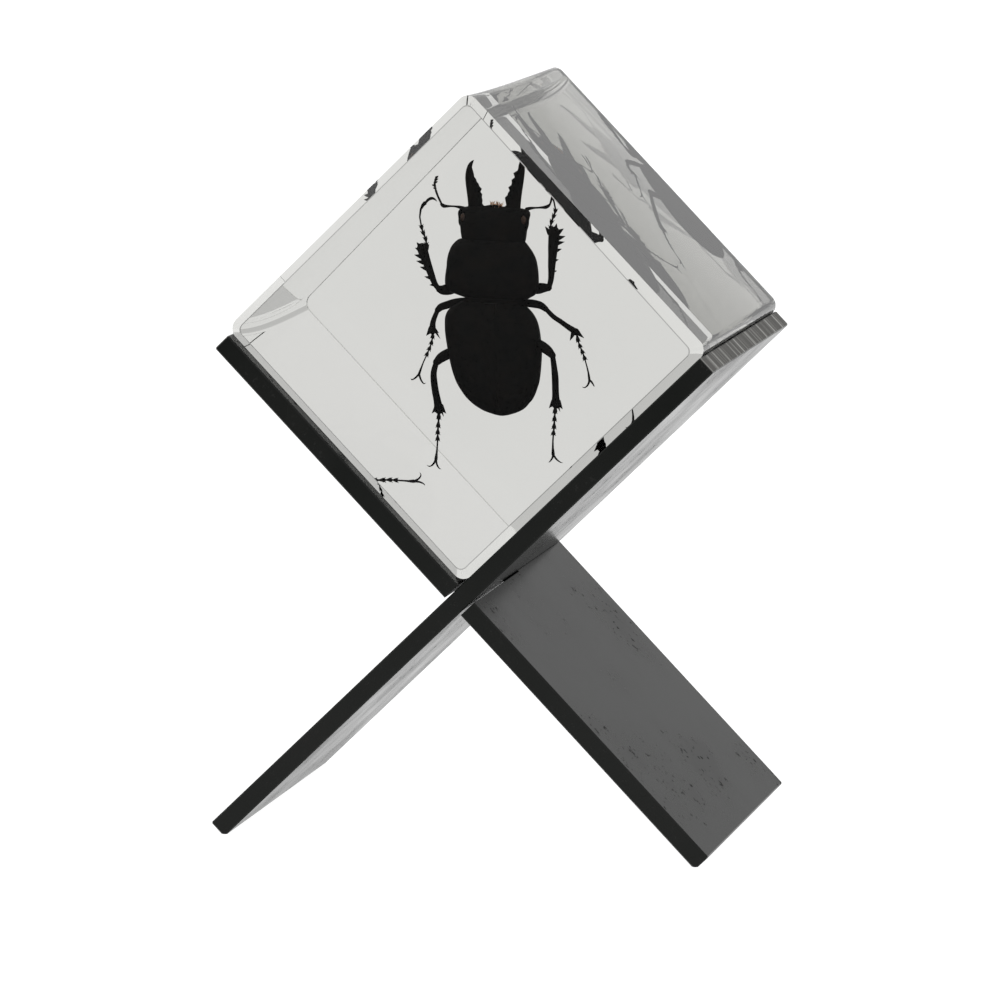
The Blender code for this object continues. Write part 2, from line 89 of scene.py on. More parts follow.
# Beetle, as (x, z, depth) in its own frame. Outlines run from tail to head: (z, left, right) edges
# and the height of the back and the depth of the belly.
ABDOMEN = (
    (-13.19, 1.0, 1.75, 0.35, 0.3), (-13.04, 0.25, 2.45, 0.75, 0.6), (-12.62, -1.17, 3.68, 1.25, 1.0),
    (-12.19, -2.04, 4.49, 1.6, 1.3), (-11.79, -2.7, 4.99, 1.9, 1.6), (-11.19, -3.44, 5.49, 2.25, 1.85),
    (-10.57, -4.07, 5.99, 2.5, 2.1), (-9.7, -4.72, 6.41, 2.8, 2.3), (-8.86, -5.26, 6.69, 3.0, 2.45),
    (-8.0, -5.66, 6.94, 3.15, 2.55), (-6.7, -6.11, 7.11, 3.3, 2.7), (-5.01, -6.53, 7.23, 3.4, 2.8),
    (-3.21, -6.88, 7.26, 3.45, 2.9), (-1.52, -7.15, 7.06, 3.4, 2.9), (-0.22, -7.23, 6.84, 3.3, 2.9),
    (0.88, -7.18, 6.49, 3.1, 2.9), (1.77, -6.83, 5.99, 2.8, 2.8), (2.47, -6.18, 5.39, 2.4, 2.5),
    (3.07, -5.19, 4.59, 1.9, 2.1), (3.47, -4.19, 3.89, 1.5, 1.8),
)
WAIST = (
    (1.77, -3.59, 3.59, 1.2, 1.7), (2.57, -4.19, 4.19, 1.6, 1.8), (3.27, -4.34, 4.59, 1.7, 1.9),
    (3.97, -4.34, 4.74, 1.7, 1.9), (5.37, -4.29, 4.39, 1.6, 1.9),
)
PRONOTUM = (
    (3.72, -3.39, 3.89, 1.5, 1.5), (3.92, -4.49, 4.94, 1.9, 1.8), (4.27, -5.58, 5.59, 2.25, 2.1),
    (4.62, -6.68, 6.14, 2.5, 2.3), (5.07, -7.08, 6.44, 2.75, 2.45), (5.67, -7.23, 6.61, 2.95, 2.55),
    (6.46, -7.25, 6.67, 3.1, 2.6), (7.26, -7.18, 6.65, 3.15, 2.6), (8.16, -7.05, 6.57, 3.15, 2.6),
    (8.96, -7.0, 6.44, 3.1, 2.55), (9.86, -6.86, 6.21, 3.0, 2.45), (10.75, -6.56, 5.76, 2.75, 2.3),
    (11.25, -6.32, 5.42, 2.6, 2.15), (11.7, -5.96, 5.07, 2.4, 2.0), (12.1, -5.54, 4.74, 2.1, 1.8),
    (12.35, -5.09, 4.39, 1.75, 1.5), (12.45, -4.39, 3.89, 1.3, 1.2),
)
HEAD = (
    (11.35, -4.19, 4.09, 1.3, 1.5), (12.25, -4.74, 4.59, 1.75, 1.7), (12.95, -4.94, 4.74, 1.95, 1.8),
    (13.85, -5.04, 4.85, 2.05, 1.9), (14.44, -5.09, 5.02, 2.1, 1.9), (14.94, -5.21, 5.04, 2.05, 1.85),
    (15.64, -5.25, 5.19, 1.9, 1.75), (16.24, -5.26, 5.31, 1.65, 1.55), (16.64, -5.19, 5.19, 1.35, 1.3),
    (16.94, -4.59, 4.69, 1.05, 1.0), (17.19, -3.29, 3.29, 0.7, 0.7),
)
EYES = ((-4.45, 15.49, -0.75), (4.38, 15.49, -0.75))
EYE_SIZE = Vector((0.5, 0.62, 0.75))

# Jaws: outer and inner outline as (x, z), root first and tip last. The inner one has the teeth.
JAWS = {
    "left": (
        ((-4.09, 16.34), (-3.94, 17.24), (-4.05, 18.24), (-4.22, 19.43), (-4.34, 20.23), (-4.42, 21.13),
         (-4.39, 21.83), (-4.27, 22.43), (-4.09, 22.97), (-3.84, 23.37), (-3.49, 23.67), (-3.13, 23.84)),
        ((-1.2, 16.34), (-1.35, 17.04), (-1.84, 17.54), (-1.79, 18.04), (-1.91, 18.44), (-1.85, 18.88),
         (-2.12, 19.23), (-1.92, 19.68), (-2.29, 20.03), (-2.37, 20.33), (-2.67, 20.68), (-2.79, 21.03),
         (-3.09, 21.43), (-3.11, 21.73), (-3.26, 22.23), (-3.42, 22.72), (-3.35, 23.12), (-3.13, 23.84)),
    ),
    "right": (
        ((3.89, 16.34), (3.86, 17.34), (3.94, 18.44), (4.06, 19.43), (4.19, 20.33), (4.31, 21.23),
         (4.39, 21.93), (4.44, 22.53), (4.41, 23.02), (4.29, 23.42), (4.04, 23.77), (3.69, 23.97)),
        ((1.2, 16.34), (1.2, 17.04), (1.72, 17.44), (1.6, 18.04), (1.5, 18.53), (1.88, 18.93),
         (1.95, 19.23), (2.2, 19.58), (1.98, 20.03), (2.45, 20.43), (2.5, 20.78), (2.45, 21.13),
         (2.94, 21.53), (2.72, 22.13), (3.34, 22.53), (3.44, 22.92), (3.49, 23.32), (3.69, 23.97)),
    ),
}
JAW_HALF_THICKNESS = 0.75

# Antennae: stalks as (x, z, depth, radius), and the club's lobes as a root (x, z, depth) and the way
# (across, along) that each points.
ANTENNAE = {
    "left": ((-4.68, 16.69, 0.5, 0.3), (-5.28, 16.84, 0.5, 0.24), (-5.88, 16.92, 0.5, 0.15),
             (-6.58, 16.94, 0.5, 0.14), (-7.17, 16.91, 0.5, 0.2), (-7.67, 16.94, 0.5, 0.28),
             (-7.97, 17.14, 0.5, 0.24), (-8.09, 17.39, 0.5, 0.15), (-8.32, 17.84, 0.5, 0.16),
             (-8.52, 18.24, 0.5, 0.15), (-8.69, 18.64, 0.5, 0.16), (-8.87, 19.14, 0.5, 0.17)),
    "right": ((4.7, 16.94, 0.5, 0.3), (5.29, 17.12, 0.5, 0.22), (6.09, 17.21, 0.5, 0.14),
              (6.89, 17.29, 0.5, 0.17), (7.49, 17.36, 0.5, 0.26), (7.89, 17.56, 0.5, 0.23),
              (8.11, 17.84, 0.6, 0.15), (8.22, 18.19, 0.7, 0.15), (8.29, 18.54, 0.8, 0.16),
              (8.35, 18.94, 1.0, 0.16), (8.4, 19.34, 1.2, 0.17)),
}
CLUBS = {
    "left": (((-8.95, 19.44, 0.5), (-0.22, 0.05)), ((-9.03, 19.83, 0.5), (-0.3, 0.1)),
             ((-9.03, 20.28, 0.5), (0.3, 0.15)), ((-8.93, 20.68, 0.5), (0.28, 0.15)),
             ((-8.82, 21.03, 0.5), (0.2, 0.2))),
    "right": (((8.42, 19.64, 1.35), (0.22, 0.05)), ((8.42, 19.99, 1.5), (0.28, 0.1)),
              ((8.36, 20.34, 1.65), (-0.28, 0.15)), ((8.28, 20.69, 1.8), (-0.26, 0.15)),
              ((8.18, 20.99, 1.9), (-0.2, 0.2))),
}

# Legs: thigh and shin as (x, z, depth, half width), the foot's line and its half widths, hooked
# claws, and teeth as root, tip and half width of the root.
LEGS = {
    "fore_left": {
        "thigh": ((-3.57, 6.47, 1.6, 0.7), (-4.77, 5.88, 1.6, 0.8), (-5.71, 5.38, 1.5, 0.82),
                  (-6.72, 4.84, 1.3, 0.84), (-7.68, 4.69, 0.8, 0.73), (-8.17, 4.82, 0.4, 0.55)),
        "shin": ((-8.22, 4.72, 0.4, 0.36), (-8.87, 5.62, 0.3, 0.43), (-9.29, 6.66, 0.2, 0.5),
                 (-9.71, 7.78, 0.1, 0.58), (-10.1, 8.79, 0.1, 0.65), (-10.48, 9.79, 0.1, 0.74),
                 (-10.78, 10.68, 0.1, 0.78)),
        "foot": ((-10.23, 10.63, 0.1), (-10.16, 11.34, 0.1), (-10.3, 12.11, 0.2), (-10.76, 13.18, 0.3),
                 (-11.06, 14.25, 0.4), (-11.22, 15.14, 0.4), (-11.18, 16.04, 0.5), (-10.82, 16.87, 0.5),
                 (-10.37, 17.34, 0.5)),
        "knobs": (0.11, 0.23, 0.36, 0.48), "widths": (0.12, 0.28, 0.42),
        "claws": (((-10.39, 17.32, 0.5), (-10.02, 17.79, 0.5), (-9.57, 18.06, 0.5), (-9.12, 17.99, 0.5),
                   (-8.69, 17.66, 0.5)),
                  ((-10.37, 17.3, 0.6), (-9.96, 17.69, 0.8), (-9.51, 17.84, 1.05), (-9.16, 17.74, 1.2),
                   (-8.81, 17.45, 1.35))),
        "teeth": (((-10.53, 10.23), (-11.7, 10.65), 0.34), ((-10.43, 9.43), (-11.78, 9.66), 0.3),
                  ((-10.23, 8.63), (-11.48, 8.78), 0.27), ((-9.91, 7.74), (-10.96, 7.94), 0.24),
                  ((-9.41, 6.45), (-10.31, 6.55), 0.2), ((-8.89, 5.46), (-9.59, 5.38), 0.17),
                  ((-10.83, 10.73), (-11.52, 11.43), 0.3), ((-10.13, 10.63), (-9.78, 11.23), 0.2)),
    },
    "fore_right": {
        "thigh": ((3.21, 6.37, 1.7, 0.7), (4.61, 5.72, 1.5, 0.82), (5.5, 5.51, 1.3, 0.84),
                  (6.4, 5.49, 1.1, 0.82), (7.07, 5.62, 0.8, 0.74), (8.09, 5.77, 0.4, 0.52)),
        "shin": ((8.09, 5.57, 0.4, 0.36), (8.42, 6.81, 0.2, 0.42), (8.54, 7.85, 0.0, 0.48),
                 (8.59, 9.02, -0.1, 0.56), (8.68, 10.19, -0.2, 0.63), (8.75, 11.49, -0.2, 0.73),
                 (8.81, 12.65, -0.1, 0.79), (8.85, 13.82, 0.1, 0.84)),
        "foot": ((8.37, 13.81, 0.2), (8.28, 14.5, 0.4), (8.34, 15.2, 0.6), (8.63, 16.0, 0.6),
                 (8.9, 16.81, 0.6), (8.93, 17.51, 0.5), (8.64, 18.39, 0.5), (8.22, 19.46, 0.6),
                 (8.14, 20.32, 0.8)),
        "knobs": (0.12, 0.25, 0.38, 0.5), "widths": (0.12, 0.28, 0.4),
        "claws": (((8.14, 20.32, 0.8), (8.11, 20.77, 0.8), (7.91, 21.12, 0.8), (7.66, 21.32, 0.8),
                   (7.46, 21.32, 0.8)),
                  ((8.12, 20.32, 0.8), (7.89, 20.64, 0.9), (7.6, 20.82, 1.0), (7.3, 20.75, 1.1),
                   (7.07, 20.53, 1.2))),
        "teeth": (((8.93, 13.82), (9.18, 14.97), 0.3), ((9.03, 13.62), (10.13, 14.32), 0.34),
                  ((9.06, 12.94), (10.38, 13.29), 0.3), ((8.96, 12.24), (10.29, 12.49), 0.28),
                  ((8.88, 11.15), (9.93, 11.45), 0.25), ((8.78, 9.75), (9.53, 9.9), 0.2),
                  ((8.68, 8.16), (9.28, 8.26), 0.17), ((8.23, 13.72), (7.59, 14.52), 0.25)),
    },
    "mid_left": {
        "thigh": ((-3.57, 3.18, 1.6, 0.55), (-5.15, 2.99, 1.9, 0.6), (-6.4, 2.73, 2.3, 0.58),
                  (-7.38, 2.36, 2.8, 0.58), (-8.35, 1.99, 3.2, 0.54), (-8.97, 1.47, 3.5, 0.44)),
        "shin": ((-8.97, 1.42, 3.5, 0.34), (-9.41, 0.38, 3.5, 0.37), (-9.63, -0.41, 3.4, 0.42),
                 (-9.61, -1.05, 3.0, 0.48), (-9.53, -1.54, 2.6, 0.56)),
        "foot": ((-9.5, -1.39, 2.6), (-9.5, -2.17, 2.6), (-9.65, -2.94, 2.8), (-9.85, -3.7, 2.9),
                 (-10.13, -4.38, 2.9), (-10.46, -5.24, 2.7), (-10.69, -5.75, 2.6), (-10.99, -6.52, 2.5),
                 (-11.51, -7.98, 2.5)),
        "knobs": (0.17, 0.31, 0.44, 0.57), "widths": (0.1, 0.27, 0.26),
        "claws": (((-11.51, -7.93, 2.5), (-11.87, -8.37, 2.5), (-12.31, -8.72, 2.5), (-12.61, -8.82, 2.6),
                   (-12.75, -8.65, 2.6)),
                  ((-11.48, -7.93, 2.5), (-11.33, -8.53, 2.6), (-11.07, -9.07, 2.7), (-10.76, -9.36, 2.8),
                   (-10.51, -9.21, 2.9))),
        "teeth": (((-9.73, -1.25), (-10.45, -2.19), 0.28), ((-9.43, -1.25), (-8.71, -1.74), 0.22),
                  ((-9.23, -1.39), (-8.48, -2.49), 0.14)),
    },
    "mid_right": {
        "thigh": ((3.03, 3.39, 1.6, 0.55), (4.56, 3.33, 0.9, 0.58), (5.89, 3.35, 0.0, 0.6),
                  (7.21, 3.26, -1.3, 0.54), (8.13, 2.81, -2.0, 0.42)),
        "shin": ((8.09, 2.86, -2.0, 0.34), (9.15, 1.76, -1.6, 0.36), (10.15, 1.07, -1.2, 0.37),
                 (11.13, 0.37, -0.9, 0.4), (11.75, -0.22, 0.3, 0.47), (12.21, -0.7, 1.3, 0.5)),
        "foot": ((12.11, -0.65, 1.3), (12.26, -1.34, 1.5), (12.44, -2.01, 1.4), (12.85, -2.83, 1.0),
                 (13.33, -3.76, 0.6), (13.63, -4.4, 0.2), (13.89, -5.16, 0.0), (14.23, -6.09, -0.4),
                 (14.45, -7.36, -0.5)),
        "knobs": (0.18, 0.31, 0.44, 0.58), "widths": (0.1, 0.28, 0.26),
        "claws": (((14.43, -7.31, -0.5), (14.34, -7.79, -0.5), (14.07, -8.23, -0.5), (13.71, -8.45, -0.6),
                   (13.38, -8.34, -0.6)),
                  ((14.45, -7.31, -0.5), (14.74, -7.55, -0.5), (14.94, -7.84, -0.4), (15.11, -8.13, -0.4),
                   (15.17, -8.27, -0.4))),
        "teeth": (((12.16, -0.45), (13.21, -1.29), 0.24), ((11.76, -0.75), (11.32, -1.74), 0.2)),
    },
    "hind_left": {
        "thigh": ((-3.57, -3.4, 2.0, 0.7), (-4.87, -3.95, 2.0, 0.74), (-5.83, -4.3, 1.9, 0.76),
                  (-6.99, -4.7, 1.7, 0.79), (-7.98, -5.28, 1.4, 0.73), (-8.65, -5.95, 1.2, 0.55)),
        "shin": ((-8.67, -5.9, 1.2, 0.4), (-9.14, -7.51, 1.7, 0.46), (-9.26, -9.11, 2.8, 0.52),
                 (-9.25, -10.69, 4.1, 0.54), (-9.13, -12.0, 5.0, 0.57), (-9.01, -13.36, 5.6, 0.7)),
        "foot": ((-9.01, -13.16, 5.6), (-9.05, -14.07, 5.9), (-9.11, -14.98, 6.1), (-9.18, -15.88, 6.2),
                 (-9.25, -16.79, 6.3), (-9.26, -17.78, 6.3), (-9.28, -18.67, 6.2), (-9.3, -19.63, 5.9),
                 (-9.38, -20.79, 5.6)),
        "knobs": (0.21, 0.37, 0.5, 0.62), "widths": (0.12, 0.3, 0.36),
        "claws": (((-9.41, -20.76, 5.6), (-9.7, -21.33, 5.6), (-10.03, -21.67, 5.6),
                   (-10.38, -21.79, 5.6), (-10.73, -21.62, 5.6)),
                  ((-9.35, -20.75, 5.6), (-9.3, -21.3, 5.8), (-9.15, -21.77, 6.0), (-8.94, -22.08, 6.2),
                   (-8.67, -22.21, 6.4))),
        "teeth": (((-9.19, -12.86), (-9.93, -13.81), 0.26), ((-8.69, -12.86), (-7.95, -13.76), 0.26),
                  ((-8.69, -13.16), (-8.29, -14.21), 0.14)),
    },
    "hind_right": {
        "thigh": ((3.02, -2.0, 2.0, 0.7), (4.31, -2.24, 1.3, 0.74), (5.48, -2.32, 0.2, 0.76),
                  (7.04, -2.49, -1.2, 0.79), (8.42, -3.05, -2.4, 0.72), (9.31, -3.77, -2.9, 0.52)),
        "shin": ((9.31, -3.72, -2.9, 0.38), (9.48, -5.4, -2.4, 0.44), (9.53, -6.98, -1.6, 0.51),
                 (9.5, -8.51, -1.0, 0.51), (9.43, -9.96, -0.2, 0.54), (9.39, -11.19, 0.4, 0.7)),
        "foot": ((9.38, -11.02, 0.4), (9.21, -12.04, 0.9), (9.14, -12.92, 0.9), (9.15, -13.77, 0.6),
                 (9.14, -14.63, 0.4), (9.15, -15.55, -0.2), (9.18, -16.39, -0.7), (9.23, -17.35, -1.0),
                 (9.3, -18.51, -1.0)),
        "knobs": (0.2, 0.34, 0.48, 0.61), "widths": (0.12, 0.3, 0.36),
        "claws": (((9.28, -18.43, -1.0), (9.18, -18.87, -1.0), (8.99, -19.21, -1.0), (8.8, -19.46, -1.0),
                   (8.6, -19.56, -1.0)),
                  ((9.32, -18.43, -1.0), (9.63, -18.87, -1.0), (9.98, -19.21, -1.0),
                   (10.38, -19.46, -1.0), (10.77, -19.56, -1.0))),
        "teeth": (((9.11, -10.82), (8.47, -11.66), 0.26), ((9.71, -10.82), (10.35, -11.71), 0.26),
                  ((9.61, -11.02), (10.0, -12.11), 0.14)),
    },
}

# Body: how round its back is, where 1 is round, the groove between the wing cases, and rims near
# the sides, which fade out where the body is thin.
BACK_SHAPE, PRONOTUM_SHAPE, HEAD_SHAPE = 0.85, 0.8, 0.75
SEAM_DEPTH, SEAM_WIDTH, SEAM_FULL_FROM = 0.22, 0.16, 1.5
WING_RIM, PRONOTUM_RIM = 0.15, 0.18
BODY_RIM_FROM, BODY_RIM_SPAN, BODY_RIM_FULL_FROM = 0.93, 0.05, 2.0
# The shield between the wing cases, as (x, z). Above its bend the face slopes back.
SHIELD = ((-1.1, 2.2), (-0.75, 1.2), (-0.15, 0.75), (0.45, 1.2), (0.8, 2.2), (0.7, 3.3), (-1.0, 3.3))
SHIELD_DEPTH, SHIELD_BACK = -3.15, -1.5
SHIELD_BEND, SHIELD_BEND_DEPTH, SHIELD_SLOPE = 2.0, -2.75, 0.2
# Ridges of the head as (x, z, depth, radius). The cheek and the brow are on both sides.
CHEEK = ((4.2, 13.6, -0.9, 0.2), (4.85, 14.6, -0.8, 0.32), (5.0, 15.4, -0.7, 0.26),
         (5.0, 16.2, -0.6, 0.34), (4.6, 16.7, -0.5, 0.3))
BROW = ((1.6, 16.4, -0.9, 0.5), (2.7, 16.6, -0.8, 0.6), (3.7, 16.5, -0.6, 0.5))
LIP = ((-1.5, 17.0, -0.4, 0.25), (-0.6, 17.15, -0.5, 0.3), (0.3, 17.2, -0.5, 0.3), (1.3, 17.0, -0.4, 0.25))
# A jaw is thin where it is narrow and towards its tip, which has a radius of its own.
JAW_EDGE, JAW_SWELL, JAW_THINNING, JAW_TIP = 0.3, 0.55, 0.55, 0.01
# A lobe of an antenna's club as shares of its way across and along, a shift in z and a radius.
LOBE = ((-0.3, 0.0, -0.2, 0.1), (0.0, 0.0, 0.0, 0.19), (0.8, 0.4, 0.0, 0.13), (1.2, 1.0, 0.0, 0.07))
LOBE_LINK = (0.15, 0.16)
# A foot's segments as a share of their length, and shares of the neck's half width and of the knob's,
# or of the end's in the last one. Barbs stand on each knob.
NECK_WIDTH, KNOB_WIDTH, LAST_WIDTH = 1.15, 1.3, 0.85
SEGMENT = ((0.0, 1.0, 0.0), (0.35, 1.05, 0.0), (0.6, 0.0, 0.62), (0.85, 0.0, 0.9), (1.0, 0.0, 0.72),
           (1.12, 1.0, 0.0))
LAST_SEGMENT = ((0.0, 1.0, 0.0), (0.35, 1.05, 0.0), (0.65, 1.35, 0.0), (0.85, 0.55, 0.55),
                (0.97, 0.0, 0.85), (1.0, 0.0, 0.6))
BARB_BEFORE, BARB_AFTER = 0.1, 0.12
BARB_ROOT, BARB_TIP, BARB_REACH = 0.35, 1.05, 0.3
BARB_RADII = (0.09, 0.07, 0.02)
CLAW_RADII = (0.16, 0.15, 0.12, 0.08, 0.02)
TOOTH_WIDTH, TOOTH_REACH, TOOTH_MIDDLE, TOOTH_DROP = 1.9, 1.12, 0.55, 0.03
# Mouth hairs: their roots' x and (z, depth), their length, how far they lean and spread, where their
# middles lie between root and tip, their radii, and the places in the noise that vary them.
MOUTH_HAIRS = 34
HAIR_LEFT, HAIR_SPAN, HAIR_ROOT = -0.55, 1.7, (17.1, -0.5)
HAIR_LENGTH, HAIR_LEAN = 0.5, 0.45
HAIR_ROOT_SPREAD, HAIR_TIP_SPREAD = 0.3, 0.4
HAIR_MIDDLE = (0.2, 0.6)
HAIR_RADII = (0.055, 0.045, 0.015)
HAIR_ROLL_STEP, HAIR_ROLL_START = 1.7, 0.3
ROLL_STEP, ROLL_START, ROLL_LAYER = 2.3, 0.1, 0.5

# Meshes. A tube has a number of sides and a flatness across the beetle's plane. Its end is sharp if
# it is thinner than SHARP_TIP, and otherwise has rings at the angles of a round cap. No ring is
# smaller than LEAST_RADIUS. A tube that runs straight away from the viewer, where the cross product
# is shorter than PARALLEL, has its side along x.
TUBES = {
    "head": (12, 0.8), "antenna": (12, 1.0), "lobe": (12, 0.9), "thigh": (16, 0.75), "shin": (14, 0.65),
    "foot": (10, 0.9), "last_segment": (10, 0.85), "barb": (6, 0.8), "claw": (8, 1.0), "tooth": (8, 0.5),
    "hair": (5, 1.0),
}
SHARP_TIP, LEAST_RADIUS, PARALLEL = 0.02, 0.012, 1e-4
CAP_ANGLES = (0.5, 0.95, 1.3)
# Steps between two points of a curve, and points round a body.
CURVE_STEPS, SHORT_STEPS, FEW_STEPS = 5, 4, 3
FOOT_STEPS, SHIN_STEPS, STATION_STEPS = 8, 6, 4
BODY_SIDES, WAIST_SIDES = 72, 36
JAW_STEPS, JAW_SIDES = 90, 14
EYE_FINENESS = 4
# Edges are shaded smooth up to these angles in degrees. The block's is less than the angle between
# its front face and the line round it.
BLOCK_SMOOTH, BODY_SMOOTH, JAW_SMOOTH, EYE_SMOOTH = 14, 45, 55, 80

# Looks. A noise is (scale per metre, detail, roughness), a span runs from low to high, tones are
# linear colours, and relief is (distance in metres, strength).
RESIN_IOR = 1.54
RESIN_GLARE = (0.3, 0.3, 0.3)
RESIN_HAZE, RESIN_HAZE_SPAN = (70.0, 4.0, 0.6), (0.35, 0.75)
RESIN_CLEAR, RESIN_HAZY = (0.83, 0.83, 0.825), (0.815, 0.815, 0.81)
# The front rim's near white is painted light: the rim is made clearer than the rest of the block so that it
# shows brighter.
# The rim line's dark grey is painted shade: a dark line drawn on the clear resin where its edges look dark.
RESIN_PAINTED_LIGHT_RIM, RESIN_PAINTED_SHADE_LINE = (1.0, 1.0, 0.995), (0.3, 0.3, 0.3)
RESIN_DENSITY, RESIN_DEPTH_COLOUR = 60.0, (0.882, 0.882, 0.874)
ACRYLIC_IOR = 1.23
ACRYLIC_TONES = ((0.006, 0.007, 0.006), (0.010, 0.0105, 0.0095))
CLOUD, CLOUD_SPAN = (60.0, 4.0, 0.6), (0.35, 0.7)
POLISH_SPAN, POLISH_ROUGHNESS = (0.35, 0.65), (0.19, 0.31)
# Specks: fine dust, mostly where the cloud is thick.
DUST, SPECK_SPAN = (900.0, 4.0, 0.7), (0.59, 0.64)
SPECK_CLOUD_SPAN, SPECK_CLOUD_SHARES = (0.48, 0.58), (0.1, 0.9)
SPECK_TONE, SPECK_ROUGHNESS = (0.017, 0.017, 0.016), 0.95
# Sawn ends: the sum of a point's |x| and its height over the V, in metres, where they begin.
SAWN_FROM = (ARM_LENGTH - 0.12) * DIAGONAL * MM
SAWN_SPAN = (SAWN_FROM, SAWN_FROM + 0.1 * MM)
SAW_LINES, SAW_LINE_SPAN = (520.0, 5.0, 0.75), (0.5, 0.66)
SAWN_TONES, SAWN_ROUGHNESS = ((0.065, 0.063, 0.058), (0.42, 0.42, 0.4)), 0.55
SHEET_WAVE, SHEET_RELIEF = (1400.0, 3.0, 0.6), (0.00001, 0.3)
SHELL_IOR = 1.12
SHELL_PATCHES, SHELL_TONE_SPAN = (380.0, 4.0, 0.6), (0.4, 0.7)
SHELL_TONES = ((0.0055, 0.006, 0.0058), (0.012, 0.0095, 0.008))
SHELL_ROUGH_SPAN, SHELL_ROUGHNESS = (0.35, 0.7), (0.5, 0.65)
PIT_SCALE, PIT_SPAN, PIT_RELIEF = 5200.0, (0.0, 0.45), (0.00004, 0.08)
EYE_PATCHES, EYE_TONE_SPAN, EYE_ROUGHNESS = (1500.0, 3.0, 0.6), (0.35, 0.65), 0.5
EYE_TONES = ((0.028, 0.014, 0.008), (0.085, 0.04, 0.022))
FACET_SCALE, FACET_RELIEF = 9000.0, (0.00004, 0.6)
HAIR_PATCHES, HAIR_TONE_SPAN = (2500.0, 2.0, 0.5), (0.3, 0.7)
HAIR_TONES = ((0.42, 0.19, 0.07), (0.75, 0.42, 0.18))
HAIR_ROUGHNESS, HAIR_IOR, HAIR_CLEARNESS = 0.4, 1.1, 0.8

# Light: the sky's spans are of a direction's Y and Z, and the floor's is of the place's Y in metres.
BACK_SKY_SPAN, BACK_SKY_LIGHT = (-0.5, 0.3), (0.15, 0.85)
HIGH_SKY_SPAN, HIGH_SKY_LIGHT = (0.25, 0.3), (0.0, 1.17)
# The floor's glow is painted light: a pool of light that is full behind the object and fades towards the
# front. With the floor's dark own tone, it also hides the object's shadow.
FLOOR_PAINTED_LIGHT_SPAN, FLOOR_PAINTED_LIGHT = (-0.40, -0.12), (0.27, 0.995)
FLOOR_TONE, FLOOR_ROUGHNESS, FLOOR_HALF_SIZE = (0.1, 0.1, 0.1), 0.9, 3.0
BOUNCES, GLOSSY_BOUNCES = 32, 16

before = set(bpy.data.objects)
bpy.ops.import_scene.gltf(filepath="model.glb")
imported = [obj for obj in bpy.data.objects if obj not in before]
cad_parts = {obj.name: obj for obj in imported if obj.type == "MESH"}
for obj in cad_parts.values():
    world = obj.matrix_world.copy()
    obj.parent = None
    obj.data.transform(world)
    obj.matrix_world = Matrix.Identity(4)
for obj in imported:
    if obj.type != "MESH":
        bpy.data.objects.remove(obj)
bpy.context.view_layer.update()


# ---------------------------------------------------------------- meshes


def link(name, mesh):
    obj = bpy.data.objects.new(name, mesh)
    bpy.context.scene.collection.objects.link(obj)
    return obj


def to_object(name, made, matrix, finish, smooth):
    """An object in the row frame from a bmesh in millimetres in the frame of the matrix. Edges are
    shaded smooth up to an angle in degrees."""
    bmesh.ops.recalc_face_normals(made, faces=made.faces)
    made.transform(Matrix.Diagonal((MM, MM, MM, 1)) @ matrix)
    mesh = bpy.data.meshes.new(name)
    made.to_mesh(mesh)
    made.free()
    mesh.shade_smooth()
    mesh.set_sharp_from_angle(angle=math.radians(smooth))
    mesh.materials.append(finish)
    return link(name, mesh)


def catmull(a, b, c, d, t):
    """A point between b and c on the Catmull-Rom curve through four points."""
    square = (a * 2 - b * 5 + c * 4 - d) * t * t
    cube = (b * 3 - a - c * 3 + d) * t * t * t
    return (b * 2 + (c - a) * t + square + cube) / 2


def smoothed(points, steps):
    """A smooth run through tuples of numbers, with so many steps between each two."""
    vectors = [Vector(point) for point in points]
    first, last = vectors[0] * 2 - vectors[1], vectors[-1] * 2 - vectors[-2]
    padded = [first] + vectors + [last]
    made = []
    for index in range(len(vectors) - 1):
        a, b, c, d = padded[index:index + 4]
        made += [catmull(a, b, c, d, step / steps) for step in range(steps)]
    return made + [vectors[-1]]


def add_rings(made, rings):
    """Closed skin through rings of points, with one face at each end."""
    loops = [[made.verts.new(point) for point in ring] for ring in rings]
    for first, second in zip(loops, loops[1:]):
        for index, vertex in enumerate(first):
            after = (index + 1) % len(first)
            made.faces.new((vertex, first[after], second[after], second[index]))
    for loop in (loops[0], loops[-1]):
        made.faces.new(loop)


def add_tube(made, run, kind):
    """A tube along (x, depth, z, radius) vectors. Its ends are rounded unless they are sharp tips."""
    sides, flatness = TUBES[kind]
    centres = [Vector(point[:3]) for point in run]
    radii = [point[3] for point in run]
    for end, step in ((0, 1), (-1, -1)):
        out = (centres[end] - centres[end + step]).normalized()
        base, radius = centres[end], radii[end]
        if radius < SHARP_TIP:
            continue
        for angle in CAP_ANGLES:
            place = 0 if end == 0 else len(centres)
            centres.insert(place, base + out * radius * math.sin(angle))
            radii.insert(place, radius * math.cos(angle))
    rings = []
    for index, centre in enumerate(centres):
        before, after = centres[max(index - 1, 0)], centres[min(index + 1, len(centres) - 1)]
        along = (after - before).normalized()
        side = along.cross(Vector((0, 1, 0)))
        side = side.normalized() if side.length > PARALLEL else Vector((1, 0, 0))
        thick = side.cross(along)
        radius = max(radii[index], LEAST_RADIUS)
        rings.append([
            centre + side * radius * math.cos(angle) + thick * radius * flatness * math.sin(angle)
            for angle in (math.tau * (step + 0.5) / sides for step in range(sides))
        ])
    add_rings(made, rings)


def beetle_point(x, z, depth):
    return (x, depth, z)


def as_run(points, steps=CURVE_STEPS):
    """Smooth (x, depth, z, radius) vectors from points given as (x, z, depth, radius)."""
    return smoothed([(*beetle_point(*point[:3]), point[3]) for point in points], steps)


# ---------------------------------------------------------------- materials


def new_material(name):
    made = bpy.data.materials.new(name)
    made.use_nodes = True
    return made, made.node_tree, made.node_tree.nodes["Principled BSDF"]


